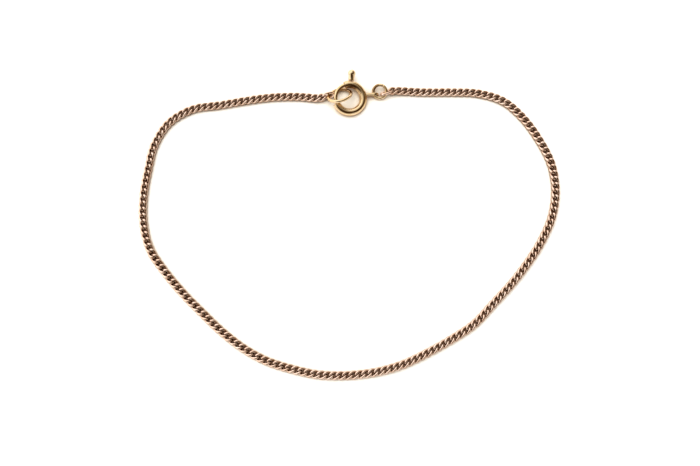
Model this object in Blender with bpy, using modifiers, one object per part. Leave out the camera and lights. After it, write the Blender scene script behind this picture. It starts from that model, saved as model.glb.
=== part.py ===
"""Curb chain bracelet, fastened and lying on a table as a whole loop.

Metres, +Z up, the loop's long way along X. The origin is below the middle of the bracelet's box.
The chain is a flattened tube with the outer size of its links. The clasp is a bolt ring: a hollow
ring with a gap, closed by a sprung bolt that slides round inside it.
"""

from math import asin, cos, degrees, pi, radians, sin

import bmesh
import bpy
import numpy as np
from mathutils import Euler, Matrix, Vector

MM = 0.001
WELD = 1e-7

# The chain, in millimetres
LINK_WIDTH = 1.45
LINK_THICKNESS = 0.84
CHAIN_POINTS = 80
CHAIN_SIDES = 8
ROUTE_STEPS = 24
# Centre line of the chain seen from above, from the catch ring round to the clasp
CHAIN_ROUTE = (
    (-8.7, 21.7), (-13.2, 21.6), (-17.7, 21.0), (-22.2, 20.2), (-26.7, 19.5),
    (-30.6, 17.2), (-33.0, 13.4), (-34.0, 9.0), (-34.6, 4.5), (-34.5, -0.1),
    (-33.3, -4.5), (-30.8, -8.2), (-27.8, -11.7), (-24.6, -14.9), (-21.3, -18.0),
    (-17.7, -20.8), (-13.7, -23.0), (-9.3, -24.4), (-4.9, -25.3), (-0.3, -25.4),
    (4.2, -24.9), (8.6, -23.7), (12.7, -21.8), (16.7, -19.6), (20.5, -17.1),
    (23.7, -13.8), (26.8, -10.5), (29.6, -7.0), (32.1, -3.2), (34.0, 1.0),
    (34.7, 5.5), (34.1, 10.0), (32.2, 14.1), (29.6, 17.9), (26.3, 20.9),
    (21.9, 22.3), (17.4, 22.5), (12.9, 22.5),
)
CHAIN_START = (-5.05, 21.45)
CHAIN_END = (7.70, 22.68)

# The bolt ring, in millimetres and degrees; angles run anticlockwise from +X, seen from above
RING_CENTRE = (0.0, 21.25)
RING_RADIUS = 2.375
TUBE_RADIUS = 0.625
BORE_RADIUS = 0.475
GAP_FROM = 111.0
GAP_TO = 205.0
LIP_RADIUS = 0.665
LIP_WIDTH = 4.0
RING_TILT = 11.0
RAISED_SIDE = 134.0
ARC_STEP = 6.0
CUT_PAST = 0.3

# The bolt inside it
BOLT_RADIUS = 0.32
BOLT_TAIL = 58.0
BOLT_TIP = 209.0
BOLT_TRAVEL = 48.0
KNOB_ANGLE = 85.0
KNOB_HEIGHT = 1.95
KNOB_BASE_RADIUS = 0.48
KNOB_DOME_RADIUS = 0.66
KNOB_CLEAR = 0.10
KNOB_EDGE = 0.05
KNOB_DOME_FROM = -35.0
PIN_RADIUS = 0.18
PIN_CLEAR = 0.10
SLOT_HALF_WIDTH = 0.28
SLOT_SPARE = 2.5

# The tag soldered to the ring
TAG_ANGLE = 13.0
TAG_AIM = 4.0
TAG_REACH = 2.08
TAG_THICKNESS = 0.50
TAG_ROUND = 0.09
TAG_HALF_HEIGHT = 0.55
TAG_NECK_HALF_HEIGHT = 0.30
TAG_HOLE_HALF_LENGTH = 0.47
TAG_HOLE_HALF_HEIGHT = 0.38
TAG_RIM = 0.21
TAG_BITE = 0.25
TAG_EYE_TURN = 158.0

# Round rings: wire radius, radius of the centre line
CATCH_WIRE = 0.275
CATCH_RADIUS = 1.95
JUMP_WIRE = 0.26
JUMP_RADIUS = 1.10

# Oval end links: wire radius, half length and half width of the centre line
END_WIRE = 0.21
END_HALF_LENGTH = 0.95
END_HALF_WIDTH = 0.63

# Where the loose rings and links lie: the centre, the way the long axis points (degrees from +X),
# how far that axis rises, and how far the ring is rolled about it
CATCH_PLACE = dict(centre=(-1.68, 21.57, 1.65), aim=15.7, rise=-0.4, roll=-44.3)
CATCH_LINK_PLACE = dict(centre=(-3.60, 21.846, 0.826), aim=12.7, rise=11.0, roll=66.0)
JUMP_PLACE = dict(centre=(5.19, 22.515, 0.835), aim=-19.8, rise=0.0, roll=14.9)
CLASP_LINK_PLACE = dict(centre=(6.35, 22.332, 0.785), aim=22.1, rise=-11.3, roll=-59.1)

YELLOW_GOLD = (0.83, 0.63, 0.30)
ROSE_GOLD = (0.72, 0.43, 0.29)


def clear_scene():
    for obj in list(bpy.data.objects):
        bpy.data.objects.remove(obj, do_unlink=True)


def new_collection(name):
    collection = bpy.data.collections.new(name)
    bpy.context.scene.collection.children.link(collection)
    return collection


def metal(name, colour, roughness):
    material = bpy.data.materials.new(name)
    material.use_nodes = True
    shader = material.node_tree.nodes["Principled BSDF"]
    shader.inputs["Base Color"].default_value = (*colour, 1.0)
    shader.inputs["Metallic"].default_value = 1.0
    shader.inputs["Roughness"].default_value = roughness
    material.diffuse_color = (*colour, 1.0)
    return material


def add_object(name, data, collection, material=None, parent=None):
    obj = bpy.data.objects.new(name, data)
    collection.objects.link(obj)
    if material:
        data.materials.clear()
        data.materials.append(material)
    if parent:
        obj.parent = parent
    return obj


def placed(centre, aim, rise, roll):
    """Matrix of a ring's own frame: its long axis is X and it lies in XY before it is turned."""
    turn = Matrix.Rotation(radians(aim), 4, "Z")
    lift = Matrix.Rotation(radians(-rise), 4, "Y")
    twist = Matrix.Rotation(radians(roll), 4, "X")
    return Matrix.Translation(Vector(centre) * MM) @ turn @ lift @ twist


def smooth_route(route, count):
    """Evenly spaced points on a smooth curve through the route's points (centripetal Catmull-Rom)."""
    known = np.array(route, float)
    known = np.vstack([2 * known[0] - known[1], known, 2 * known[-1] - known[-2]])
    steps = np.sqrt(np.linalg.norm(np.diff(known, axis=0), axis=1))
    times = np.concatenate([[0.0], np.cumsum(steps)])
    fine = []
    for i in range(1, len(known) - 2):
        p = known[i - 1:i + 3]
        k = times[i - 1:i + 3]
        for t in np.linspace(k[1], k[2], ROUTE_STEPS, endpoint=False):
            a = [((k[j + 1] - t) * p[j] + (t - k[j]) * p[j + 1]) / (k[j + 1] - k[j]) for j in range(3)]
            b = [((k[j + 2] - t) * a[j] + (t - k[j]) * a[j + 1]) / (k[j + 2] - k[j]) for j in range(2)]
            fine.append(((k[2] - t) * b[0] + (t - k[1]) * b[1]) / (k[2] - k[1]))
    fine.append(known[-2])
    fine = np.array(fine)
    along = np.concatenate([[0.0], np.cumsum(np.linalg.norm(np.diff(fine, axis=0), axis=1))])
    wanted = np.linspace(0.0, along[-1], count)
    return np.column_stack([np.interp(wanted, along, fine[:, axis]) for axis in range(2)])


def wire_curve(name, points, radius, closed=False, sides=8):
    """A round wire of the given radius (millimetres) along the points."""
    curve = bpy.data.curves.new(name, "CURVE")
    curve.dimensions = "3D"
    curve.bevel_depth = radius * MM
    curve.bevel_resolution = sides // 2 - 2
    curve.use_fill_caps = not closed
    spline = curve.splines.new("POLY")
    spline.points.add(len(points) - 1)
    for slot, point in zip(spline.points, points):
        slot.co = (*(Vector(point) * MM), 1.0)
    spline.use_cyclic_u = closed
    spline.use_smooth = True
    return curve


def flat_plate(name, outlines, thickness, rounding):
    """A flat plate with rounded edges in XY, of closed outlines (millimetres); inner ones are holes."""
    curve = bpy.data.curves.new(name, "CURVE")
    curve.dimensions = "2D"
    curve.fill_mode = "BOTH"
    curve.extrude = (thickness / 2 - rounding) * MM
    curve.bevel_depth = rounding * MM
    curve.bevel_resolution = 1 if rounding else 0
    for outline in outlines:
        spline = curve.splines.new("POLY")
        spline.points.add(len(outline) - 1)
        for slot, (x, y) in zip(spline.points, outline):
            slot.co = (x * MM, y * MM, 0.0, 1.0)
        spline.use_cyclic_u = True
    return curve


def as_mesh(curve, name):
    """The curve's evaluated mesh with its caps welded on."""
    holder = bpy.data.objects.new(name, curve)
    bpy.context.scene.collection.objects.link(holder)
    bpy.context.view_layer.update()
    graph = bpy.context.evaluated_depsgraph_get()
    mesh = bpy.data.meshes.new_from_object(holder.evaluated_get(graph))
    bpy.data.objects.remove(holder, do_unlink=True)
    bpy.data.curves.remove(curve)
    mesh.name = name
    work = bmesh.new()
    work.from_mesh(mesh)
    bmesh.ops.remove_doubles(work, verts=work.verts, dist=WELD)
    bmesh.ops.recalc_face_normals(work, faces=work.faces)
    work.to_mesh(mesh)
    work.free()
    return mesh


def shade(obj, sharp_angle=40.0):
    obj.data.shade_smooth()
    obj.data.set_sharp_from_angle(angle=radians(sharp_angle))


def boolean(obj, other, operation):
    modifier = obj.modifiers.new(operation.title() + " " + other.name, "BOOLEAN")
    modifier.operation = operation
    modifier.solver = "EXACT"
    modifier.object = other


def helper(name, mesh, collection, parent=None):
    """A cutter, or a shape that is joined to another: it isn't a piece of its own."""
    obj = add_object(name, mesh, collection, parent=parent)
    obj.hide_render = True
    obj.display_type = "WIRE"
    return obj


def arc(radius, start, end, step):
    """Points on a circle about the origin, from start to end degrees."""
    count = max(2, round(abs(end - start) / step) + 1)
    angles = [radians(start + (end - start) * i / (count - 1)) for i in range(count)]
    return [(radius * cos(a), radius * sin(a), 0.0) for a in angles]


def ellipse(half_length, half_width, count, centre=(0.0, 0.0)):
    turns = [2 * pi * i / count for i in range(count)]
    return [(centre[0] + half_length * cos(t), centre[1] + half_width * sin(t)) for t in turns]


def make_chain(collection):
    """The chain as a flattened tube whose flat underside lies on the table."""
    points = smooth_route((CHAIN_START,) + CHAIN_ROUTE + (CHAIN_END,), CHAIN_POINTS)
    flat_to_corner = cos(pi / CHAIN_SIDES)
    curve = wire_curve("curb_chain", [(x, y, 0.0) for x, y in points],
                       LINK_WIDTH / 2 / flat_to_corner, sides=CHAIN_SIDES)
    curve.twist_mode = "Z_UP"
    for slot in curve.splines[0].points:
        slot.tilt = pi / CHAIN_SIDES
    chain = add_object("curb_chain", curve, collection, metal("rose_gold_chain", ROSE_GOLD, 0.32))
    chain.scale.z = LINK_THICKNESS / LINK_WIDTH
    chain.location.z = LINK_THICKNESS / 2 * MM
    return chain


def round_ring(name, wire, radius, place, collection, material):
    bpy.ops.mesh.primitive_torus_add(major_segments=40, minor_segments=12,
                                     major_radius=radius * MM, minor_radius=wire * MM)
    ring = bpy.context.object
    ring.name = name
    ring.data.name = name
    for home in list(ring.users_collection):
        home.objects.unlink(ring)
    collection.objects.link(ring)
    ring.data.materials.clear()
    ring.data.materials.append(material)
    ring.matrix_world = placed(**place)
    shade(ring)
    return ring


def end_link(name, place, collection, material):
    outline = ellipse(END_HALF_LENGTH, END_HALF_WIDTH, 28)
    curve = wire_curve(name, [(x, y, 0.0) for x, y in outline], END_WIRE, closed=True, sides=10)
    link = add_object(name, curve, collection, material)
    link.matrix_world = placed(**place)
    return link


def ring_frame(collection):
    """The clasp's own frame: the origin is the ring's centre and Z its axis."""
    frame = bpy.data.objects.new("clasp_frame", None)
    collection.objects.link(frame)
    raised = radians(RAISED_SIDE)
    hinge = Vector((sin(raised), -cos(raised), 0.0))
    height = TUBE_RADIUS + RING_RADIUS * sin(radians(RING_TILT))
    place = Matrix.Translation(Vector((*RING_CENTRE, height)) * MM)
    frame.matrix_world = place @ Matrix.Rotation(radians(RING_TILT), 4, hinge)
    frame.empty_display_size = 2 * MM
    return frame


def tag_outlines():
    """The plate's outline, from inside the tube's wall to the round eye, and the eye's hole."""
    eye_end = TAG_HOLE_HALF_LENGTH + TAG_RIM
    eye = TAG_REACH - eye_end
    start = TAG_EYE_TURN - degrees(asin(TAG_NECK_HALF_HEIGHT / TAG_HALF_HEIGHT))
    upper = [(TAG_ROUND - TAG_BITE, TAG_NECK_HALF_HEIGHT - TAG_ROUND)]
    for step in range(11):
        turn = radians(start * (1 - step / 10))
        upper.append((eye + (eye_end - TAG_ROUND) * cos(turn), (TAG_HALF_HEIGHT - TAG_ROUND) * sin(turn)))
    lower = [(x, -y) for x, y in reversed(upper[:-1])]
    hole = ellipse(TAG_HOLE_HALF_LENGTH + TAG_ROUND, TAG_HOLE_HALF_HEIGHT + TAG_ROUND, 20, (eye, 0.0))
    return upper + lower, hole


def make_tag(collection, parent):
    """The tag stands on edge: its plate holds the ring's axis direction and points outwards."""
    plate = as_mesh(flat_plate("tag_plate", tag_outlines(), TAG_THICKNESS, TAG_ROUND), "tag_plate")
    root = radians(TAG_ANGLE)
    base = Vector((cos(root), sin(root), 0.0)) * (RING_RADIUS + TUBE_RADIUS)
    upright = Matrix.Rotation(radians(90.0), 4, "X")
    aim = Matrix.Rotation(radians(TAG_AIM), 4, "Z")
    plate.transform(Matrix.Translation(base * MM) @ aim @ upright)
    return helper("tag_plate", plate, collection, parent)


def make_slot_cutter(collection, parent):
    """The slot in the ring's outer side that the knob's pin runs in, as long as the bolt's travel."""
    clear = degrees((PIN_RADIUS + PIN_CLEAR) / (RING_RADIUS + TUBE_RADIUS))
    start = KNOB_ANGLE - BOLT_TRAVEL - clear - SLOT_SPARE
    end = KNOB_ANGLE + clear
    inner = arc(RING_RADIUS, start, end, ARC_STEP / 2)
    outer = arc(RING_RADIUS + TUBE_RADIUS + CUT_PAST, end, start, ARC_STEP / 2)
    outline = [(x, y) for x, y, _ in inner + outer]
    curve = flat_plate("slot_cutter", (outline,), 2 * SLOT_HALF_WIDTH, 0.0)
    return helper("slot_cutter", as_mesh(curve, "slot_cutter"), collection, parent)


def make_bolt_ring(collection, helpers, frame, material):
    """The hollow ring with its gap, lips, slot and tag: soldered, so one solid."""
    span = (GAP_TO - 360.0, GAP_FROM)
    tube = wire_curve("bolt_ring", arc(RING_RADIUS, *span, ARC_STEP), TUBE_RADIUS, sides=16)
    ring = add_object("bolt_ring", as_mesh(tube, "bolt_ring"), collection, material, frame)
    for name, start, end in (("lip_at_tip", span[0], span[0] + LIP_WIDTH),
                             ("lip_at_knob", span[1] - LIP_WIDTH, span[1])):
        lip = as_mesh(wire_curve(name, arc(RING_RADIUS, start, end, LIP_WIDTH), LIP_RADIUS, sides=16), name)
        boolean(ring, helper(name, lip, helpers, frame), "UNION")
    boolean(ring, make_tag(helpers, frame), "UNION")
    hollow = arc(RING_RADIUS, span[0] - ARC_STEP, span[1] + ARC_STEP, ARC_STEP)
    bore = as_mesh(wire_curve("bore_cutter", hollow, BORE_RADIUS, sides=16), "bore_cutter")
    boolean(ring, helper("bore_cutter", bore, helpers, frame), "DIFFERENCE")
    boolean(ring, make_slot_cutter(helpers, frame), "DIFFERENCE")
    shade(ring)
    return ring


def knob_profile():
    """Pin and knob from inside the bolt outwards, as (distance from the ring's centre, radius)."""
    surface = RING_RADIUS + TUBE_RADIUS
    dome = surface + KNOB_HEIGHT - KNOB_DOME_RADIUS
    rows = [(RING_RADIUS, PIN_RADIUS), (surface + KNOB_CLEAR, PIN_RADIUS),
            (surface + KNOB_CLEAR, KNOB_BASE_RADIUS - KNOB_EDGE),
            (surface + KNOB_CLEAR + KNOB_EDGE, KNOB_BASE_RADIUS)]
    for step in range(7):
        turn = radians(KNOB_DOME_FROM + (90.0 - KNOB_DOME_FROM) * step / 6)
        rows.append((dome + KNOB_DOME_RADIUS * sin(turn), KNOB_DOME_RADIUS * cos(turn)))
    return [(RING_RADIUS, 0.0)] + rows[:-1] + [(surface + KNOB_HEIGHT, 0.0)]


def make_bolt(collection, helpers, frame, material):
    """The bolt with its pin and thumb knob: its origin is on the axis that it turns about."""
    rod = wire_curve("thumb_bolt", arc(RING_RADIUS, BOLT_TAIL, BOLT_TIP, ARC_STEP), BOLT_RADIUS, sides=12)
    bolt = add_object("thumb_bolt", as_mesh(rod, "thumb_bolt"), collection, material, frame)
    knob = bpy.data.meshes.new("thumb_knob")
    profile = [(radius * MM, 0.0, distance * MM) for distance, radius in reversed(knob_profile())]
    knob.from_pydata(profile, [(i, i + 1) for i in range(len(profile) - 1)], [])
    turned = helper("thumb_knob", knob, helpers, frame)
    screw = turned.modifiers.new("Turn", "SCREW")
    screw.steps = 20
    screw.render_steps = 20
    screw.use_merge_vertices = True
    screw.merge_threshold = 1e-6
    turned.rotation_euler = Euler((0.0, radians(90.0), radians(KNOB_ANGLE)))
    boolean(bolt, turned, "UNION")
    shade(bolt)
    return bolt


def main():
    clear_scene()
    pieces = new_collection("curb_chain_bracelet")
    helpers = new_collection("cutters_and_shapes_to_join")
    rose = metal("rose_gold_link", ROSE_GOLD, 0.30)
    yellow = metal("yellow_gold_ring", YELLOW_GOLD, 0.22)
    make_chain(pieces)
    frame = ring_frame(pieces)
    make_bolt_ring(pieces, helpers, frame, metal("yellow_gold_clasp", YELLOW_GOLD, 0.22))
    make_bolt(pieces, helpers, frame, metal("yellow_gold_bolt", YELLOW_GOLD, 0.20))
    round_ring("catch_ring", CATCH_WIRE, CATCH_RADIUS, CATCH_PLACE, pieces, yellow)
    round_ring("tag_jump_ring", JUMP_WIRE, JUMP_RADIUS, JUMP_PLACE, pieces,
               metal("yellow_gold_jump_ring", YELLOW_GOLD, 0.24))
    end_link("catch_end_link", CATCH_LINK_PLACE, pieces, rose)
    end_link("clasp_end_link", CLASP_LINK_PLACE, pieces, metal("rose_gold_end_link", ROSE_GOLD, 0.30))


main()
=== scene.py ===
from math import asin, cos, degrees, pi, radians, sin

import bmesh
import bpy
import numpy as np
from mathutils import Euler, Matrix, Vector


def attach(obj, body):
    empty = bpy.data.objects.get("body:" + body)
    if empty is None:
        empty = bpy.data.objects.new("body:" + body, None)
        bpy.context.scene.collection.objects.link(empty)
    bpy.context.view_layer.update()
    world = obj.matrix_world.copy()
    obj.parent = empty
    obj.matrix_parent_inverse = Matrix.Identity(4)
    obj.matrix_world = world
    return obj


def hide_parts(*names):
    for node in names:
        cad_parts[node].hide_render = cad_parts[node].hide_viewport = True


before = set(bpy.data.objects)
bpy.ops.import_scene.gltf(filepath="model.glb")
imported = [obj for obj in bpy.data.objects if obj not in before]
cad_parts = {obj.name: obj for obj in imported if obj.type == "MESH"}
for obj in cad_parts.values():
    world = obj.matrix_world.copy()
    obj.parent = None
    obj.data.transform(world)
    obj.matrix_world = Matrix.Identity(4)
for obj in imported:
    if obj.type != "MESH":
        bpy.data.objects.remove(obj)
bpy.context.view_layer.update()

MM = 0.001

# The chain's centre line seen from above, in millimetres, from the catch ring round to the clasp
CHAIN_ROUTE = (
    (-8.7, 21.7), (-13.2, 21.6), (-17.7, 21.0), (-22.2, 20.2), (-26.7, 19.5),
    (-30.6, 17.2), (-33.0, 13.4), (-34.0, 9.0), (-34.6, 4.5), (-34.5, -0.1),
    (-33.3, -4.5), (-30.8, -8.2), (-27.8, -11.7), (-24.6, -14.9), (-21.3, -18.0),
    (-17.7, -20.8), (-13.7, -23.0), (-9.3, -24.4), (-4.9, -25.3), (-0.3, -25.4),
    (4.2, -24.9), (8.6, -23.7), (12.7, -21.8), (16.7, -19.6), (20.5, -17.1),
    (23.7, -13.8), (26.8, -10.5), (29.6, -7.0), (32.1, -3.2), (34.0, 1.0),
    (34.7, 5.5), (34.1, 10.0), (32.2, 14.1), (29.6, 17.9), (26.3, 20.9),
    (21.9, 22.3), (17.4, 22.5), (12.9, 22.5),
)
ROUTE_STEPS = 24
PATH_POINTS = 3000

# Where the first and the last curb link end, inside the end links: x, y, height
FIRST_TIP = (-4.04, 21.85, 0.666)
LAST_TIP = (6.788, 22.535, 0.709)
CHAIN_START = (-5.05, 21.45)
CHAIN_END = (7.70, 22.68)
CHAIN_HEIGHT = 0.466
LIFT_LENGTH = 4.0

# One curb link, in millimetres and degrees
LINK_WIDTH = 1.45
LINK_PITCH = 1.055
LINK_WIRE = 0.44
LINK_SLACK = 0.004
LINK_TWIST = 52.0
LINK_SQUARENESS = 2.3
LINK_LINE_POINTS = 400
LINK_TURNS = 36
LINK_SIDES = 12
LINK_ROLL = 1.2
LINK_ROLL_LIMIT = 2
LAST_LINK_ROLL = 9.0
LINK_SEED = 7

# Painted shade on a link, partly standing for dirt: how far it spreads from its neighbours in
# millimetres, how much lies inside the link and on its sides, and how far a side faces up where it
# starts to fade and over what span
NEIGHBOUR_SHADE_REACH = 0.07
INSIDE_SHADE = 0.8
SIDE_SHADE = 0.76
SIDE_FACING = 0.3
SIDE_FADE = 0.6

# The bolt ring, in millimetres and degrees; angles run anticlockwise from +X, seen from above
RING_CENTRE = (0.0, 21.25)
RING_RADIUS = 2.375
TUBE_RADIUS = 0.625
BORE_RADIUS = 0.475
GAP_FROM = 111.0
GAP_TO = 205.0
LIP_RADIUS = 0.665
MOUTH_RADIUS = 0.555
MOUTH_TAPER = 14.0
MOUTH_STEPS = 6
MOUTH_CLEAR = 1.0
LIP_WIDTH = 4.0
LIP_FOOT = 1.5
LIP_SHOULDER = 2.2
LIP_SHOULDER_DROP = 0.01
LIP_TOP = 2.8
BORE_CLEAR = 3.0
RING_TILT = 11.0
RAISED_SIDE = 134.0
RING_SIDES = 40
RING_STEP = 2.0
CUT_PAST = 0.3
# Painted shade on the side of the ring and the bolt that faces the ring's middle: the angle where it
# starts, where it ends on the ring and on the bolt, over how many degrees it fades, how far into the
# tube it reaches and how dark it is
INNER_SHADE_FROM = 48.0
INNER_SHADE_TO = 128.0
BOLT_INNER_SHADE_TO = 195.0
INNER_SHADE_FADE = 14.0
INNER_SHADE_REACH = 0.55
INNER_SHADE_DEPTH = 0.72

# The bolt inside it
BOLT_RADIUS = 0.32
BOLT_SIDES = 24
BOLT_END_SHARE = 0.25
BOLT_TAIL = 58.0
BOLT_TIP = 209.0
BOLT_TRAVEL = 48.0
KNOB_ANGLE = 85.0
KNOB_HEIGHT = 1.94
KNOB_BASE_RADIUS = 0.48
KNOB_DOME_RADIUS = 0.66
KNOB_CLEAR = 0.10
KNOB_EDGE = 0.05
KNOB_DOME_FROM = -35.0
KNOB_STEPS = 20
KNOB_SIDES = 40
PIN_RADIUS = 0.18
PIN_CLEAR = 0.10
SLOT_HALF_WIDTH = 0.28
SLOT_SPARE = 2.5
SLOT_POINTS = 28

# The tag soldered to the ring
TAG_ANGLE = 13.0
TAG_AIM = 4.0
TAG_REACH = 2.08
TAG_THICKNESS = 0.50
TAG_ROUND = 0.09
TAG_HALF_HEIGHT = 0.55
TAG_NECK_HALF_HEIGHT = 0.30
TAG_HOLE_HALF_LENGTH = 0.47
TAG_HOLE_HALF_HEIGHT = 0.38
TAG_RIM = 0.21
TAG_BITE = 0.25
TAG_EYE_TURN = 158.0
TAG_STEPS = 24
TAG_HOLE_SIDES = 48
PLATE_EDGE_STEPS = 3
WELD_DISTANCE = 1e-7
SHARP_ANGLE = 35.0

# Round rings: wire radius, radius of the centre line
CATCH_WIRE = 0.266
CATCH_RADIUS = 1.95
JUMP_WIRE = 0.26
JUMP_RADIUS = 1.10
WIRE_TURNS = 144
WIRE_SIDES = 24
# Painted shade on a ring's inner side; the seam's depth and width; a painted dark arc of shade on the
# ring: how dark it is, how wide, and how sharp its edge
WIRE_INNER_SHADE = 0.5
SEAM_DEPTH = 0.16
SEAM_WIDTH = 2.5
ARC_SHADE_DEPTH = 0.62
ARC_SHADE_REACH = 50.0
ARC_SHADE_EDGE = 1.5

# Oval end links: wire radius, half length and half width of the centre line
END_WIRE = 0.21
END_HALF_LENGTH = 0.95
END_HALF_WIDTH = 0.63

# Where the loose rings and links lie: the centre, the way the long axis points (degrees from +X),
# how far that axis rises, and how far the ring is rolled about it
CATCH_PLACE = dict(centre=(-1.68, 21.57, 1.65), aim=15.7, rise=-0.4, roll=-44.3)
CATCH_LINK_PLACE = dict(centre=(-3.60, 21.846, 0.826), aim=12.7, rise=11.0, roll=66.0)
JUMP_PLACE = dict(centre=(5.19, 22.515, 0.835), aim=-19.8, rise=0.0, roll=14.9)
CLASP_LINK_PLACE = dict(centre=(6.35, 22.332, 0.785), aim=22.1, rise=-11.3, roll=-59.1)

# The view: elevation in degrees, what the camera looks at and how far away it is
CAMERA_ELEVATION = 81.15
CAMERA_TARGET = (0.1, -1.8, 0.0)
CAMERA_DISTANCE = 156.4
CAMERA_LENS = 48.0
CAMERA_NEAR = 0.01
SENSOR_WIDTH = 36.0

# Linear colours
ROSE_GOLD = (0.93, 0.76, 0.66)
ROSE_DEEP = (0.82, 0.61, 0.49)
YELLOW_GOLD = (0.82, 0.66, 0.45)
YELLOW_DEEP = (0.74, 0.56, 0.33)
EDGE_TINT = (0.80, 0.56, 0.40)
# Dark brown of painted shade and patina on the metal
SHADE_AND_PATINA = (0.16, 0.064, 0.012)
# Painted colours on the table: a dark shadow close to the metal and warm reflected light around it
TABLE_PAINTED_SHADOW = (0.20, 0.078, 0.026)
TABLE_PAINTED_WARM_LIGHT = (0.75, 0.68, 0.56)
TABLE = (0.76, 0.75, 0.74)
TABLE_SHADE = (0.75, 0.74, 0.73)

# The metal's surface: scales of the blotches, of the roughness and of the scratches, and their depth in
# millimetres; the contrast of the noise; how much of a link's own tone shows; the mark at which the dark
# brown of painted shade and patina starts and is full; how open a spot is where its painted shade is
# full and where it ends, seen over how many millimetres
BLOTCH_SCALE = 700.0
BLOTCH_RANGE = (0.35, 0.65)
ROUGH_SCALE = 5200.0
ROUGH_RANGE = (0.3, 0.7)
ROUGH_SPREAD = (-0.05, 0.09)
ROSE_ROUGHNESS = 0.14
YELLOW_ROUGHNESS = 0.12
SCRATCH_SCALE = 9000.0
SCRATCH_DETAIL = 5.0
SCRATCH_STRENGTH = 0.25
SCRATCH_DEPTH = 0.01
TONE_SHARE = 0.35
SHADE_AND_PATINA_SHARE = 0.96
SHADE_MARK_RANGE = (0.25, 0.85)
GOLD_SHELTER = 0.35
GOLD_SHELTER_RANGE = (0.15, 0.75)

# The table: its size in metres, its faint blotches, and how open a spot is where painted colour takes it
# fully and no more: a dark painted shadow close by and a painted warm reflected light further out, each
# seen over so many millimetres
TABLE_SIZE = 4.0
TABLE_ROUGHNESS = 0.6
TABLE_BLOTCH_SCALE = 40.0
TABLE_BLOTCH_RANGE = (0.3, 0.7)
PAINTED_SHADOW_SHELTER = 1.8
PAINTED_SHADOW_RANGE = (0.16, 0.60)
PAINTED_WARM_SHELTER = 4.0
PAINTED_WARM_RANGE = (0.42, 0.84)
SHELTER_SAMPLES = 8

# The surroundings: radiance of the window side and of the rest of the room, and the dark patches
# overhead: azimuth from +X, tilt from straight up, inner and outer radius in degrees, and radiance
WINDOW_GLOW = (1.28, 1.25, 1.20)
WINDOW_AZIMUTH = 135.0
WINDOW_FROM = 0.08
WINDOW_FULL = 0.62
FRONT_GLOW = (0.74, 0.71, 0.66)
DARK_PATCHES = (
    (262.0, 38.0, 20.0, 38.0, (0.065, 0.036, 0.012)),
    (335.0, 38.0, 20.0, 38.0, (0.085, 0.050, 0.020)),
    (15.0, 75.0, 10.0, 36.0, (0.24, 0.18, 0.11)),
    (42.0, 52.0, 8.0, 26.0, (0.14, 0.095, 0.045)),
)

# Soft lights round the table and above it: azimuth from +X and tilt from straight up in degrees, and
# strength; then how wide each looks, in degrees
SOFT_LIGHTS = (
    (150.0, 48.0, 0.60), (90.0, 55.0, 0.40), (215.0, 55.0, 0.40), (0.0, 55.0, 0.45),
    (285.0, 55.0, 0.50), (120.0, 10.0, 1.90),
)
SOFT_LIGHT_WIDTH = 38.0


def add_object(name, data, material=None):
    obj = bpy.data.objects.new(name, data)
    bpy.context.scene.collection.objects.link(obj)
    if material:
        data.materials.append(material)
    return obj


def placed(centre, aim, rise, roll):
    """Matrix of a ring's own frame: its long axis is X and it lies in XY before it is turned."""
    turn = Matrix.Rotation(radians(aim), 4, "Z")
    lift = Matrix.Rotation(radians(-rise), 4, "Y")
    twist = Matrix.Rotation(radians(roll), 4, "X")
    return Matrix.Translation(Vector(centre) * MM) @ turn @ lift @ twist


def clasp_frame():
    """Matrix of the clasp's own frame: the origin is the ring's centre and Z its axis."""
    raised = radians(RAISED_SIDE)
    hinge = Vector((sin(raised), -cos(raised), 0.0))
    height = TUBE_RADIUS + RING_RADIUS * sin(radians(RING_TILT))
    place = Matrix.Translation(Vector((*RING_CENTRE, height)) * MM)
    return place @ Matrix.Rotation(radians(RING_TILT), 4, hinge)


def smooth_route(route, count):
    """Evenly spaced points on a smooth curve through the route's points."""
    known = np.array(route, float)
    known = np.vstack([2 * known[0] - known[1], known, 2 * known[-1] - known[-2]])
    steps = np.sqrt(np.linalg.norm(np.diff(known, axis=0), axis=1))
    times = np.concatenate([[0.0], np.cumsum(steps)])
    fine = []
    for i in range(1, len(known) - 2):
        p = known[i - 1:i + 3]
        k = times[i - 1:i + 3]
        for t in np.linspace(k[1], k[2], ROUTE_STEPS, endpoint=False):
            a = [((k[j + 1] - t) * p[j] + (t - k[j]) * p[j + 1]) / (k[j + 1] - k[j]) for j in range(3)]
            b = [((k[j + 2] - t) * a[j] + (t - k[j]) * a[j + 1]) / (k[j + 2] - k[j]) for j in range(2)]
            fine.append(((k[2] - t) * b[0] + (t - k[1]) * b[1]) / (k[2] - k[1]))
    fine.append(known[-2])
    fine = np.array(fine)
    along = np.concatenate([[0.0], np.cumsum(np.linalg.norm(np.diff(fine, axis=0), axis=1))])
    wanted = np.linspace(0.0, along[-1], count)
    return np.column_stack([np.interp(wanted, along, fine[:, axis]) for axis in range(2)])


def eased(share):
    share = np.clip(share, 0.0, 1.0)
    return share * share * (3 - 2 * share)


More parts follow.
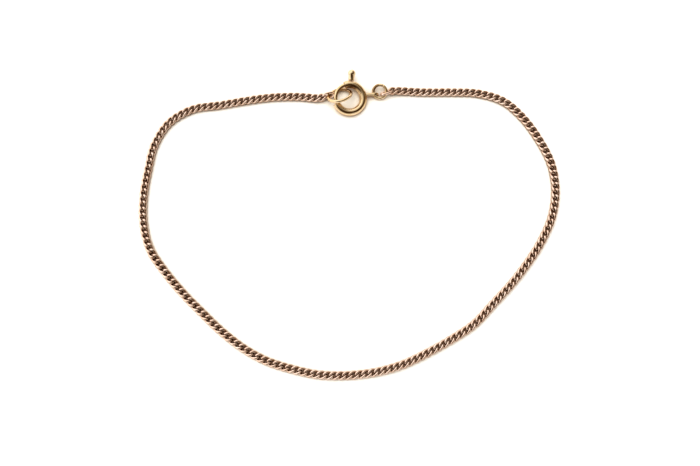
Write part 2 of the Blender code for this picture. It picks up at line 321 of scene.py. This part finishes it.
class ChainPath:
    """The line that the links' centres follow: place, heading and height at a distance along it."""

    def __init__(self):
        route = (FIRST_TIP[:2], CHAIN_START) + CHAIN_ROUTE + (CHAIN_END, LAST_TIP[:2])
        self.points = smooth_route(route, PATH_POINTS)
        steps = np.diff(self.points, axis=0)
        self.along = np.concatenate([[0.0], np.cumsum(np.linalg.norm(steps, axis=1))])
        self.length = self.along[-1]
        slopes = np.gradient(self.points, axis=0)
        self.heading = np.unwrap(np.arctan2(slopes[:, 1], slopes[:, 0]))

    def height(self, s):
        first = eased(1 - s / LIFT_LENGTH) * (FIRST_TIP[2] - CHAIN_HEIGHT)
        last = eased(1 - (self.length - s) / LIFT_LENGTH) * (LAST_TIP[2] - CHAIN_HEIGHT)
        return CHAIN_HEIGHT + first + last

    def place(self, local, centre):
        """Bends points given about a link's centre along the path; local is x along, y left, z up."""
        s = centre + local[:, 0]
        heading = np.interp(s, self.along, self.heading)
        x = np.interp(s, self.along, self.points[:, 0]) - local[:, 1] * np.sin(heading)
        y = np.interp(s, self.along, self.points[:, 1]) + local[:, 1] * np.cos(heading)
        return np.column_stack([x, y, self.height(s) + local[:, 2]])


def link_line(half_length, half_width):
    """The centre line of one curb link: a rounded oval, twisted about the chain's direction."""
    turns = np.linspace(0, 2 * pi, LINK_LINE_POINTS, endpoint=False)
    c, s = np.cos(turns), np.sin(turns)
    x = half_length * np.sign(c) * np.abs(c) ** (2 / LINK_SQUARENESS)
    r = half_width * np.sign(s) * np.abs(s) ** (2 / LINK_SQUARENESS)
    turn = -radians(LINK_TWIST) * x / half_length
    line = np.column_stack([x, r * np.cos(turn), r * np.sin(turn)])
    closed = np.vstack([line, line[:1]])
    along = np.concatenate([[0.0], np.cumsum(np.linalg.norm(np.diff(closed, axis=0), axis=1))])
    wanted = np.linspace(0.0, along[-1], LINK_TURNS, endpoint=False)
    return np.column_stack([np.interp(wanted, along, closed[:, axis]) for axis in range(3)])


def unit(vectors):
    return vectors / np.linalg.norm(vectors, axis=1, keepdims=True)


def loop_tube(line, radius, sides):
    """Points and outward-facing quads of a round wire along a closed line, and how far each faces in."""
    ahead = unit(np.roll(line, -1, 0) - np.roll(line, 1, 0))
    out = line - line.mean(0)
    out = unit(out - ahead * (out * ahead).sum(1, keepdims=True))
    side = np.cross(ahead, out)
    angles = np.linspace(0, 2 * pi, sides, endpoint=False)
    ring = out[:, None] * np.cos(angles)[None, :, None] + side[:, None] * np.sin(angles)[None, :, None]
    points = (line[:, None] + radius * ring).reshape(-1, 3)
    inward = np.tile(np.clip(-np.cos(angles), 0, 1), len(line))
    return points, tube_faces(len(line), sides), inward


def tube_faces(count, sides):
    """Quads of a closed tube whose points are stored ring by ring."""
    i, j = np.meshgrid(np.arange(count), np.arange(sides), indexing="ij")
    a = i * sides + j
    b = i * sides + (j + 1) % sides
    c = (i + 1) % count * sides + (j + 1) % sides
    d = (i + 1) % count * sides + j
    return np.stack([a, d, c, b], -1).reshape(-1, 4)


def mesh_of(name, points, faces, **point_values):
    mesh = bpy.data.meshes.new(name)
    corners = [tuple(int(i) for i in face) for face in faces]
    mesh.from_pydata((np.asarray(points) * MM).tolist(), [], corners)
    for key, values in point_values.items():
        attribute = mesh.attributes.new(key, "FLOAT", "POINT")
        attribute.data.foreach_set("value", np.asarray(values, np.float32))
    work = bmesh.new()
    work.from_mesh(mesh)
    bmesh.ops.recalc_face_normals(work, faces=work.faces)
    work.to_mesh(mesh)
    work.free()
    mesh.shade_smooth()
    return mesh


def neighbour_shade(shape, line, pitch):
    """How near each point of a link lies to the wires of its two neighbours, from 0 to 1; this sets
    painted shade between the links.
    """
    nearest = np.full(len(shape), np.inf)
    for shift in (-pitch, pitch):
        gaps = np.linalg.norm(shape[:, None] - (line + (shift, 0, 0))[None], axis=2)
        nearest = np.minimum(nearest, gaps.min(1) - LINK_WIRE / 2)
    return np.exp(-np.clip(nearest, 0, None) / NEIGHBOUR_SHADE_REACH)


def make_chain(material):
    """Every curb link along the path, joined into one mesh that stands for the chain's solid."""
    path = ChainPath()
    reach = LINK_PITCH + LINK_WIRE
    count = round((path.length - reach) / LINK_PITCH) + 1
    pitch = (path.length - LINK_WIRE - 2 * LINK_SLACK) / count
    half_length = (pitch + LINK_WIRE) / 2 + LINK_SLACK
    line = link_line(half_length, (LINK_WIDTH - LINK_WIRE) / 2)
    shape, faces, inward = loop_tube(line, LINK_WIRE / 2, LINK_SIDES)
    # Painted shade, partly standing for dirt: near the neighbours' wires, on the link's inner side, and
    # on the sides that face away from the top
    facing_up = (shape - np.repeat(line, LINK_SIDES, axis=0))[:, 2] / (LINK_WIRE / 2)
    side_shade = SIDE_SHADE * (1 - eased((facing_up - SIDE_FACING) / SIDE_FADE))
    crevice = np.maximum.reduce([neighbour_shade(shape, line, pitch), INSIDE_SHADE * inward, side_shade])
    rng = np.random.default_rng(LINK_SEED)
    rolls = radians(LINK_ROLL) * rng.normal(size=count).clip(-LINK_ROLL_LIMIT, LINK_ROLL_LIMIT)
    rolls[0] = 0.0
    rolls[-1] = radians(LAST_LINK_ROLL)
    points = []
    for k in range(count):
        turn = np.array(Matrix.Rotation(rolls[k], 3, "X"))
        points.append(path.place(shape @ turn.T, half_length + k * pitch))
    all_faces = (faces[None] + np.arange(count)[:, None, None] * len(shape)).reshape(-1, 4)
    tones = np.repeat(rng.uniform(size=count), len(shape))
    crevices = np.tile(crevice, count)
    mesh = mesh_of("curb_links", np.vstack(points), all_faces, crevice=crevices, tone=tones)
    chain = add_object("curb_links", mesh, material)
    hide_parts("curb_chain")
    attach(chain, "bracelet")
    return chain


def ring_line(half_length, half_width, count):
    turns = np.linspace(0, 2 * pi, count, endpoint=False)
    return np.column_stack([half_length * np.cos(turns), half_width * np.sin(turns), 0 * turns])


def wire_ring(name, node, place, wire, half_length, half_width, material, seam=None, shade_angle=None):
    """A closed wire ring or oval link, with the fine seam where its ends were soldered.

    The last argument is the angle about which an arc of the ring gets painted shade.
    """
    line = ring_line(half_length, half_width, WIRE_TURNS)
    points, faces, inward = loop_tube(line, 1.0, WIRE_SIDES)
    middle = np.repeat(line, WIRE_SIDES, axis=0)
    radius = np.full(len(line), wire)
    if seam is not None:
        turn = np.degrees(np.arctan2(line[:, 1], line[:, 0]))
        off = (turn - seam + 180) % 360 - 180
        radius = wire * (1 - SEAM_DEPTH * np.exp(-(off / SEAM_WIDTH) ** 2))
    points = middle + (points - middle) * np.repeat(radius, WIRE_SIDES)[:, None]
    # Painted shade on the ring's inner side and about one angle of it
    crevice = WIRE_INNER_SHADE * inward
    if shade_angle is not None:
        turn = np.degrees(np.arctan2(middle[:, 1], middle[:, 0]))
        off = np.abs((turn - shade_angle + 180) % 360 - 180)
        crevice = np.maximum(crevice, ARC_SHADE_DEPTH * eased(ARC_SHADE_EDGE - off / ARC_SHADE_REACH))
    obj = add_object(name, mesh_of(name, points, faces, crevice=crevice), material)
    obj.data.transform(placed(**place))
    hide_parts(node)
    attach(obj, "bracelet")
    return obj


def arc_rings(rows, sides):
    """Circles of the given radii about points of the ring's centre circle: rows of (angle, radius)."""
    points = []
    for angle, radius in rows:
        a = radians(angle)
        out = np.array((cos(a), sin(a), 0.0))
        for side in range(sides):
            t = 2 * pi * side / sides
            points.append(out * (RING_RADIUS + radius * cos(t)) + np.array((0.0, 0.0, radius * sin(t))))
    return np.array(points)


def rounded_mouth(angle, inwards, lip):
    """Rows of the tube's rounded lip at one mouth, from its outer side to the bore."""
    rim = (lip + BORE_RADIUS) / 2
    wall = (lip - BORE_RADIUS) / 2
    rows = []
    for step in range(MOUTH_STEPS + 1):
        t = radians(90 - 180 * step / MOUTH_STEPS)
        back = degrees(wall * (1 - cos(t)) / RING_RADIUS)
        rows.append((angle + inwards * back, rim + wall * sin(t)))
    return rows


def tube_shell():
    """The hollow ring with its two rounded lips, from mouth to mouth outside and back inside."""
    start, end = GAP_TO - 360.0, GAP_FROM
    outside = []
    for angle in np.arange(start + LIP_WIDTH - LIP_FOOT, end - MOUTH_CLEAR, RING_STEP):
        taper = eased((angle - end + MOUTH_TAPER) / MOUTH_TAPER)
        outside.append((angle, TUBE_RADIUS + (MOUTH_RADIUS - TUBE_RADIUS) * taper))
    first = rounded_mouth(start, 1.0, LIP_RADIUS)
    last = rounded_mouth(end, -1.0, MOUTH_RADIUS)
    top = (start + LIP_WIDTH - LIP_TOP, LIP_RADIUS)
    shoulder = (start + LIP_WIDTH - LIP_SHOULDER, LIP_RADIUS - LIP_SHOULDER_DROP)
    inside = []
    for angle in np.arange(end - BORE_CLEAR, start + BORE_CLEAR, -RING_STEP):
        inside.append((angle, BORE_RADIUS))
    rows = [top, shoulder] + outside + last + inside + first[::-1]
    return arc_rings(rows, RING_SIDES), tube_faces(len(rows), RING_SIDES)


def flat_plate(name, outlines, thickness, rounding):
    """A flat plate with rounded edges in XY, of closed outlines (millimetres); inner ones are holes."""
    curve = bpy.data.curves.new(name, "CURVE")
    curve.dimensions = "2D"
    curve.fill_mode = "BOTH"
    curve.extrude = (thickness / 2 - rounding) * MM
    curve.bevel_depth = rounding * MM
    curve.bevel_resolution = PLATE_EDGE_STEPS if rounding else 0
    for outline in outlines:
        spline = curve.splines.new("POLY")
        spline.points.add(len(outline) - 1)
        for point, (x, y) in zip(spline.points, outline):
            point.co = (x * MM, y * MM, 0.0, 1.0)
        spline.use_cyclic_u = True
    return curve


def as_mesh(curve, name):
    """The curve's evaluated mesh with its caps welded on."""
    holder = bpy.data.objects.new(name, curve)
    bpy.context.scene.collection.objects.link(holder)
    bpy.context.view_layer.update()
    graph = bpy.context.evaluated_depsgraph_get()
    mesh = bpy.data.meshes.new_from_object(holder.evaluated_get(graph))
    bpy.data.objects.remove(holder, do_unlink=True)
    mesh.name = name
    work = bmesh.new()
    work.from_mesh(mesh)
    bmesh.ops.remove_doubles(work, verts=work.verts, dist=WELD_DISTANCE)
    bmesh.ops.recalc_face_normals(work, faces=work.faces)
    work.to_mesh(mesh)
    work.free()
    return mesh


def tag_outlines():
    """The plate's outline, from inside the tube's wall to the round eye, and the eye's hole."""
    eye_end = TAG_HOLE_HALF_LENGTH + TAG_RIM
    eye = TAG_REACH - eye_end
    start = TAG_EYE_TURN - degrees(asin(TAG_NECK_HALF_HEIGHT / TAG_HALF_HEIGHT))
    upper = [(TAG_ROUND - TAG_BITE, TAG_NECK_HALF_HEIGHT - TAG_ROUND)]
    for step in range(TAG_STEPS + 1):
        turn = radians(start * (1 - step / TAG_STEPS))
        x = eye + (eye_end - TAG_ROUND) * cos(turn)
        y = (TAG_HALF_HEIGHT - TAG_ROUND) * sin(turn)
        upper.append((x, y))
    lower = [(x, -y) for x, y in reversed(upper[:-1])]
    turns = np.linspace(0, 2 * pi, TAG_HOLE_SIDES, endpoint=False)
    across = TAG_HOLE_HALF_LENGTH + TAG_ROUND
    high = TAG_HOLE_HALF_HEIGHT + TAG_ROUND
    hole = [(eye + across * cos(t), high * sin(t)) for t in turns]
    return upper + lower, hole


def make_tag():
    plate = as_mesh(flat_plate("tag_plate", tag_outlines(), TAG_THICKNESS, TAG_ROUND), "tag_plate")
    root = radians(TAG_ANGLE)
    base = Vector((cos(root), sin(root), 0.0)) * (RING_RADIUS + TUBE_RADIUS)
    upright = Matrix.Rotation(radians(90.0), 4, "X")
    aim = Matrix.Rotation(radians(TAG_AIM), 4, "Z")
    plate.transform(Matrix.Translation(base * MM) @ aim @ upright)
    return add_object("tag_plate", plate)


def make_slot_cutter():
    """The slot in the ring's outer side that the knob's pin runs in, as long as the bolt's travel."""
    clear = degrees((PIN_RADIUS + PIN_CLEAR) / (RING_RADIUS + TUBE_RADIUS))
    start = KNOB_ANGLE - BOLT_TRAVEL - clear - SLOT_SPARE
    end = KNOB_ANGLE + clear
    angles = np.radians(np.linspace(start, end, SLOT_POINTS))
    inner = [(RING_RADIUS * cos(a), RING_RADIUS * sin(a)) for a in angles]
    outside = RING_RADIUS + TUBE_RADIUS + CUT_PAST
    outer = [(outside * cos(a), outside * sin(a)) for a in angles[::-1]]
    curve = flat_plate("slot_cutter", (inner + outer,), 2 * SLOT_HALF_WIDTH, 0.0)
    return add_object("slot_cutter", as_mesh(curve, "slot_cutter"))


def combine(obj, other, operation):
    """Applies a Boolean with another object, which is then gone."""
    modifier = obj.modifiers.new(operation, "BOOLEAN")
    modifier.operation = operation
    modifier.solver = "EXACT"
    modifier.object = other
    bpy.context.view_layer.update()
    graph = bpy.context.evaluated_depsgraph_get()
    mesh = bpy.data.meshes.new_from_object(obj.evaluated_get(graph))
    obj.modifiers.clear()
    obj.data = mesh
    bpy.data.objects.remove(other, do_unlink=True)


def smooth(mesh):
    mesh.shade_smooth()
    mesh.set_sharp_from_angle(angle=radians(SHARP_ANGLE))


def paint_inner_shade(mesh, tube, end):
    """Marks painted shade on the side of the ring or bolt that faces the ring's middle, up to an angle.
    """
    points = np.array([vertex.co for vertex in mesh.vertices]) / MM
    turn = np.degrees(np.arctan2(points[:, 1], points[:, 0])) % 360
    inner = (RING_RADIUS - np.hypot(points[:, 0], points[:, 1])) / tube
    from_ends = np.minimum(turn - INNER_SHADE_FROM, end - turn) / INNER_SHADE_FADE
    values = INNER_SHADE_DEPTH * eased(inner / INNER_SHADE_REACH) * eased(from_ends)
    marks = mesh.attributes.new("crevice", "FLOAT", "POINT")
    marks.data.foreach_set("value", values.astype(np.float32))


def make_bolt_ring(material):
    points, faces = tube_shell()
    ring = add_object("clasp_ring", mesh_of("clasp_ring", points, faces), material)
    combine(ring, make_tag(), "UNION")
    combine(ring, make_slot_cutter(), "DIFFERENCE")
    smooth(ring.data)
    # Painted shade on the ring's inner side
    paint_inner_shade(ring.data, TUBE_RADIUS, INNER_SHADE_TO)
    ring.data.transform(clasp_frame())
    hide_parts("bolt_ring")
    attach(ring, "bracelet")
    return ring


def knob_profile():
    """Pin and knob from inside the bolt outwards, as (distance from the ring's centre, radius)."""
    surface = RING_RADIUS + TUBE_RADIUS
    dome = surface + KNOB_HEIGHT - KNOB_DOME_RADIUS
    base = surface + KNOB_CLEAR
    rows = [
        (RING_RADIUS, PIN_RADIUS),
        (base, PIN_RADIUS),
        (base, KNOB_BASE_RADIUS - KNOB_EDGE),
        (base + KNOB_EDGE, KNOB_BASE_RADIUS),
    ]
    for step in range(KNOB_STEPS):
        turn = radians(KNOB_DOME_FROM + (90.0 - KNOB_DOME_FROM) * step / KNOB_STEPS)
        rows.append((dome + KNOB_DOME_RADIUS * sin(turn), KNOB_DOME_RADIUS * cos(turn)))
    return rows


def turned(rows, sides):
    """Points and faces of the knob turned about X, closed at its top and foot: rows of (x, radius)."""
    points = [(rows[0][0], 0.0, 0.0)]
    for x, radius in rows:
        for side in range(sides):
            t = 2 * pi * side / sides
            points.append((x, radius * cos(t), radius * sin(t)))
    points.append((RING_RADIUS + TUBE_RADIUS + KNOB_HEIGHT, 0.0, 0.0))
    faces = [(0, 1 + (j + 1) % sides, 1 + j) for j in range(sides)]
    for i in range(len(rows) - 1):
        for j in range(sides):
            a, b = 1 + i * sides, 1 + (i + 1) * sides
            faces.append((a + j, a + (j + 1) % sides, b + (j + 1) % sides, b + j))
    top = 1 + (len(rows) - 1) * sides
    faces += [(len(points) - 1, top + j, top + (j + 1) % sides) for j in range(sides)]
    return points, faces


def make_bolt(material):
    reach = degrees(BOLT_RADIUS / RING_RADIUS)
    rows = []
    for angle in np.arange(BOLT_TAIL, BOLT_TIP, RING_STEP):
        from_end = min(angle - BOLT_TAIL, BOLT_TIP - angle) / reach
        share = 1.0 if from_end > 1 else max(0.0, 1 - (1 - from_end) ** 2) ** 0.5
        rows.append((angle, BOLT_RADIUS * max(share, BOLT_END_SHARE)))
    points = arc_rings(rows, BOLT_SIDES)
    faces = []
    for i in range(len(rows) - 1):
        for j in range(BOLT_SIDES):
            a, b = i * BOLT_SIDES, (i + 1) * BOLT_SIDES
            faces.append((a + j, b + j, b + (j + 1) % BOLT_SIDES, a + (j + 1) % BOLT_SIDES))
    faces.append(tuple(range(BOLT_SIDES)))
    faces.append(tuple(range(len(points) - 1, len(points) - BOLT_SIDES - 1, -1)))
    bolt = add_object("thumb_bolt_smooth", mesh_of("thumb_bolt_smooth", points, faces), material)
    knob_points, knob_faces = turned(knob_profile(), KNOB_SIDES)
    knob = add_object("thumb_knob", mesh_of("thumb_knob", knob_points, knob_faces))
    knob.data.transform(Matrix.Rotation(radians(KNOB_ANGLE), 4, "Z"))
    combine(bolt, knob, "UNION")
    smooth(bolt.data)
    # Painted shade on the bolt's inner half
    paint_inner_shade(bolt.data, BOLT_RADIUS, BOLT_INNER_SHADE_TO)
    bolt.data.transform(clasp_frame())
    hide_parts("thumb_bolt")
    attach(bolt, "bolt")
    return bolt


def node(tree, kind, inputs=None, **settings):
    """A shader node with its settings; an input takes a value or another node's output."""
    made = tree.nodes.new("ShaderNode" + kind)
    for key, value in settings.items():
        setattr(made, key, value)
    for key, value in (inputs or {}).items():
        if isinstance(value, bpy.types.NodeSocket):
            tree.links.new(value, made.inputs[key])
        else:
            made.inputs[key].default_value = value
    return made


def new_material(name):
    material = bpy.data.materials.new(name)
    material.use_nodes = True
    tree = material.node_tree
    return material, tree, tree.nodes["Principled BSDF"]


def noise(tree, scale, detail=3.0):
    place = node(tree, "TexCoord")
    inputs = {"Vector": place.outputs["Object"], "Scale": scale, "Detail": detail}
    return node(tree, "TexNoise", inputs).outputs["Fac"]


def ranged(tree, value, limits, first, last):
    """A value that goes from the first number to the last as another goes from limit to limit."""
    low, high = limits
    inputs = {"Value": value, "From Min": low, "From Max": high, "To Min": first, "To Max": last}
    return node(tree, "MapRange", inputs).outputs["Result"]


def blended(tree, factor, first, second):
    """A colour between two others, each a linear colour or another node's output."""
    first, second = [(*c, 1.0) if isinstance(c, tuple) else c for c in (first, second)]
    return node(tree, "Mix", {0: factor, 6: first, 7: second}, data_type="RGBA").outputs[2]


def shelter(tree, reach):
    """How open a spot is, from 0 deep between the links to 1 out in the open."""
    reached = {"Distance": reach * MM}
    return node(tree, "AmbientOcclusion", reached, samples=SHELTER_SAMPLES).outputs["AO"]


def shade_and_patina_share(tree):
    """How much dark brown a spot gets: painted shade and patina where the mesh's mark says so, or
    painted shade where other metal hides the spot.
    """
    crevice = node(tree, "Attribute", attribute_name="crevice").outputs["Fac"]
    marked = ranged(tree, crevice, SHADE_MARK_RANGE, 0.0, SHADE_AND_PATINA_SHARE)
    hidden = ranged(tree, shelter(tree, GOLD_SHELTER), GOLD_SHELTER_RANGE, SHADE_AND_PATINA_SHARE, 0.0)
    return node(tree, "Math", {0: marked, 1: hidden}, operation="MAXIMUM").outputs["Value"]


def gold_colour(tree, bright, deep):
    """Faint blotches between two tones of gold, and a slightly different tone for each link."""
    tone = node(tree, "Attribute", attribute_name="tone").outputs["Fac"]
    blotches = ranged(tree, noise(tree, BLOTCH_SCALE), BLOTCH_RANGE, 0.0, 1.0)
    own_tone = ranged(tree, tone, (0.0, 1.0), 0.0, TONE_SHARE)
    return blended(tree, own_tone, blended(tree, blotches, bright, deep), deep)


def gold(name, bright, deep, roughness):
    """Polished gold with faint blotches of tone, fine scratches, and dark brown in its hollows and on
    shaded sides: painted shade, with some patina.
    """
    material, tree, shader = new_material(name)
    shader.inputs["Metallic"].default_value = 1.0
    shader.inputs["Specular Tint"].default_value = (*EDGE_TINT, 1.0)
    # The base colour turns dark brown where painted shade and patina lie
    shaded_colour = blended(tree, shade_and_patina_share(tree), gold_colour(tree, bright, deep), SHADE_AND_PATINA)
    tree.links.new(shaded_colour, shader.inputs["Base Color"])
    finest, coarsest = [roughness + spread for spread in ROUGH_SPREAD]
    rough = ranged(tree, noise(tree, ROUGH_SCALE), ROUGH_RANGE, finest, coarsest)
    tree.links.new(rough, shader.inputs["Roughness"])
    scratches = {"Height": noise(tree, SCRATCH_SCALE, SCRATCH_DETAIL),
                 "Strength": SCRATCH_STRENGTH, "Distance": SCRATCH_DEPTH * MM}
    tree.links.new(node(tree, "Bump", scratches).outputs["Normal"], shader.inputs["Normal"])
    return material


def table_material():
    """A white table with a dark painted shadow close to the metal and a painted warm reflected light
    around it, both set by how open each spot is.
    """
    material, tree, shader = new_material("white_table")
    blotches = ranged(tree, noise(tree, TABLE_BLOTCH_SCALE), TABLE_BLOTCH_RANGE, 0.0, 1.0)
    shade = blended(tree, blotches, TABLE, TABLE_SHADE)
    # Painted shadow close to the metal and painted warm reflected light further out, by how enclosed a
    # spot is
    near = ranged(tree, shelter(tree, PAINTED_SHADOW_SHELTER), PAINTED_SHADOW_RANGE, 1.0, 0.0)
    around = ranged(tree, shelter(tree, PAINTED_WARM_SHELTER), PAINTED_WARM_RANGE, 1.0, 0.0)
    tinted = blended(tree, near, blended(tree, around, shade, TABLE_PAINTED_WARM_LIGHT), TABLE_PAINTED_SHADOW)
    tree.links.new(tinted, shader.inputs["Base Color"])
    shader.inputs["Roughness"].default_value = TABLE_ROUGHNESS
    return material


def make_table():
    bpy.ops.mesh.primitive_plane_add(size=TABLE_SIZE)
    table = bpy.context.object
    table.name = "table"
    table.data.materials.append(table_material())


def towards(azimuth, tilt):
    """The direction that is turned from +X by the azimuth and leans from straight up by the tilt."""
    turn, lean = radians(azimuth), radians(tilt)
    return Vector((cos(turn) * sin(lean), sin(turn) * sin(lean), cos(lean)))


def soft_light(azimuth, tilt, strength):
    """A broad light over the whole table; the metal mirrors the surroundings in its place."""
    light = bpy.data.lights.new("soft_light", "SUN")
    light.angle = radians(SOFT_LIGHT_WIDTH)
    light.energy = strength
    obj = add_object("soft_light", light)
    obj.rotation_euler = towards(azimuth, tilt).to_track_quat("Z", "Y").to_euler()
    obj.visible_glossy = False


def make_surroundings():
    """A room with a bright window side and dark patches overhead, all mirrored in the metal."""
    world = bpy.data.worlds.new("studio")
    bpy.context.scene.world = world
    world.use_nodes = True
    tree = world.node_tree
    direction = node(tree, "TexCoord").outputs["Generated"]

    def share(axis, low, high):
        dot = node(tree, "VectorMath", {0: direction, 1: axis}, operation="DOT_PRODUCT").outputs["Value"]
        edges = {"Value": dot, "From Min": low, "From Max": high}
        return node(tree, "MapRange", edges, interpolation_type="SMOOTHSTEP").outputs["Result"]

    window = share(towards(WINDOW_AZIMUTH, 90.0), WINDOW_FROM, WINDOW_FULL)
    colour = blended(tree, window, FRONT_GLOW, WINDOW_GLOW)
    for azimuth, tilt, inner, outer, glow in DARK_PATCHES:
        patch = share(towards(azimuth, tilt), cos(radians(outer)), cos(radians(inner)))
        colour = blended(tree, patch, colour, glow)
    tree.links.new(colour, tree.nodes["Background"].inputs["Color"])


def make_lights():
    make_surroundings()
    for azimuth, tilt, strength in SOFT_LIGHTS:
        soft_light(azimuth, tilt, strength)


def make_camera():
    camera = bpy.data.cameras.new("camera")
    camera.lens = CAMERA_LENS
    camera.sensor_width = SENSOR_WIDTH
    camera.clip_start = CAMERA_NEAR
    obj = add_object("camera", camera)
    up = radians(CAMERA_ELEVATION)
    back = Vector((0.0, -cos(up), sin(up)))
    obj.location = (Vector(CAMERA_TARGET) + back * CAMERA_DISTANCE) * MM
    obj.rotation_euler = Euler((radians(90.0 - CAMERA_ELEVATION), 0.0, 0.0))
    bpy.context.scene.camera = obj


def main():
    bpy.context.scene.view_settings.view_transform = "Standard"
    bpy.context.scene.view_settings.look = "Medium High Contrast"
    rose = gold("rose_gold", ROSE_GOLD, ROSE_DEEP, ROSE_ROUGHNESS)
    yellow = gold("yellow_gold", YELLOW_GOLD, YELLOW_DEEP, YELLOW_ROUGHNESS)
    make_camera()
    make_table()
    make_lights()
    make_chain(rose)
    make_bolt_ring(yellow)
    make_bolt(yellow)
    wire_ring("catch_ring_smooth", "catch_ring", CATCH_PLACE,
              CATCH_WIRE, CATCH_RADIUS, CATCH_RADIUS, yellow, seam=205.0, shade_angle=60.0)
    wire_ring("tag_jump_ring_smooth", "tag_jump_ring", JUMP_PLACE,
              JUMP_WIRE, JUMP_RADIUS, JUMP_RADIUS, yellow, seam=80.0, shade_angle=160.0)
    wire_ring("catch_end_link_smooth", "catch_end_link", CATCH_LINK_PLACE,
              END_WIRE, END_HALF_LENGTH, END_HALF_WIDTH, rose)
    wire_ring("clasp_end_link_smooth", "clasp_end_link", CLASP_LINK_PLACE,
              END_WIRE, END_HALF_LENGTH, END_HALF_WIDTH, rose)


main()
